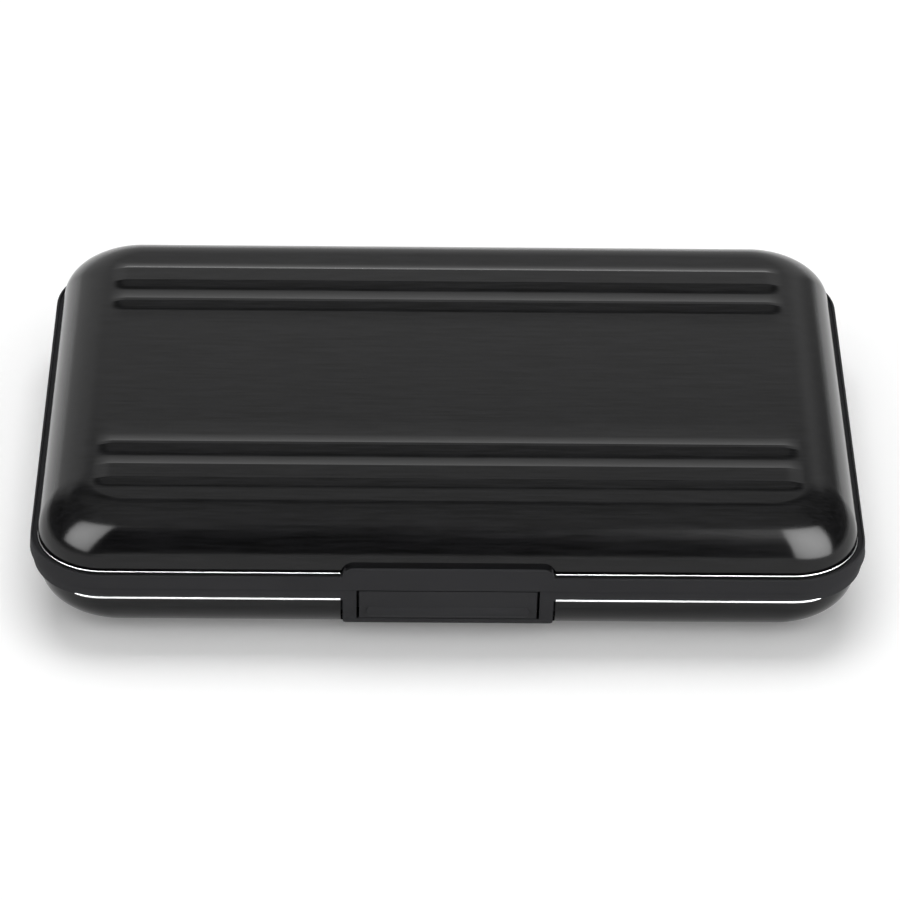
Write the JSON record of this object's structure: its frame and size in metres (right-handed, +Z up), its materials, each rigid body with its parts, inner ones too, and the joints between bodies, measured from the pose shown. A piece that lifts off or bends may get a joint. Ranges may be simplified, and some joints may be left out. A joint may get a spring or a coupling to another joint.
{
  "type": "memory card case",
  "caption": "Flat hinged aluminium card case with ribbed shells, plastic frames, a push-button front latch and foam pockets for memory cards in both halves.",
  "frame": {"origin": "centre of the bounding box on the surface the case lies on, under the lower ribs", "axes": "+X along the length, to the right seen from the latch; +Y from the latch to the hinge; +Z up through the lid"},
  "size_m": [0.11, 0.0793, 0.0186],
  "materials": {
    "shell": "black anodised, fine brushed along the length, with a bare bright rim",
    "frame": "matte moulded black",
    "button": "matte moulded black, fine texture",
    "foam": "die-cut closed-cell foam",
    "foam_sheet": "plain closed-cell foam",
    "film": "translucent adhesive film",
    "pin": "plain drawn steel",
    "spring": "spring steel strip"
  },
  "bodies": {
    "base": {"lower_shell": "shell", "lower_frame": "frame", "lower_film": "film", "lower_foam_base": "foam_sheet", "lower_foam_tray": "foam", "hinge_pin_left": "pin", "hinge_pin_right": "pin", "latch_spring": "spring"},
    "lid": {"upper_shell": "shell", "upper_frame": "frame", "upper_film": "film", "upper_foam_base": "foam_sheet", "upper_foam_tray": "foam"},
    "button": {"latch_button": "button"}
  },
  "joints": [
    {"name": "lid_hinge", "type": "hinge", "parent": "base", "child": "lid", "pos_m": [0, 0.03765, 0.00932], "axis": [-1, 0, 0], "range_deg": [0, 180]},
    {"name": "latch_press", "type": "slide", "parent": "base", "child": "button", "axis": [0, 1, 0], "range_m": [0, 0.001], "stiffness_N_per_m": 800, "springref_m": -0.002, "deforming": ["latch_spring"]}
  ]
}
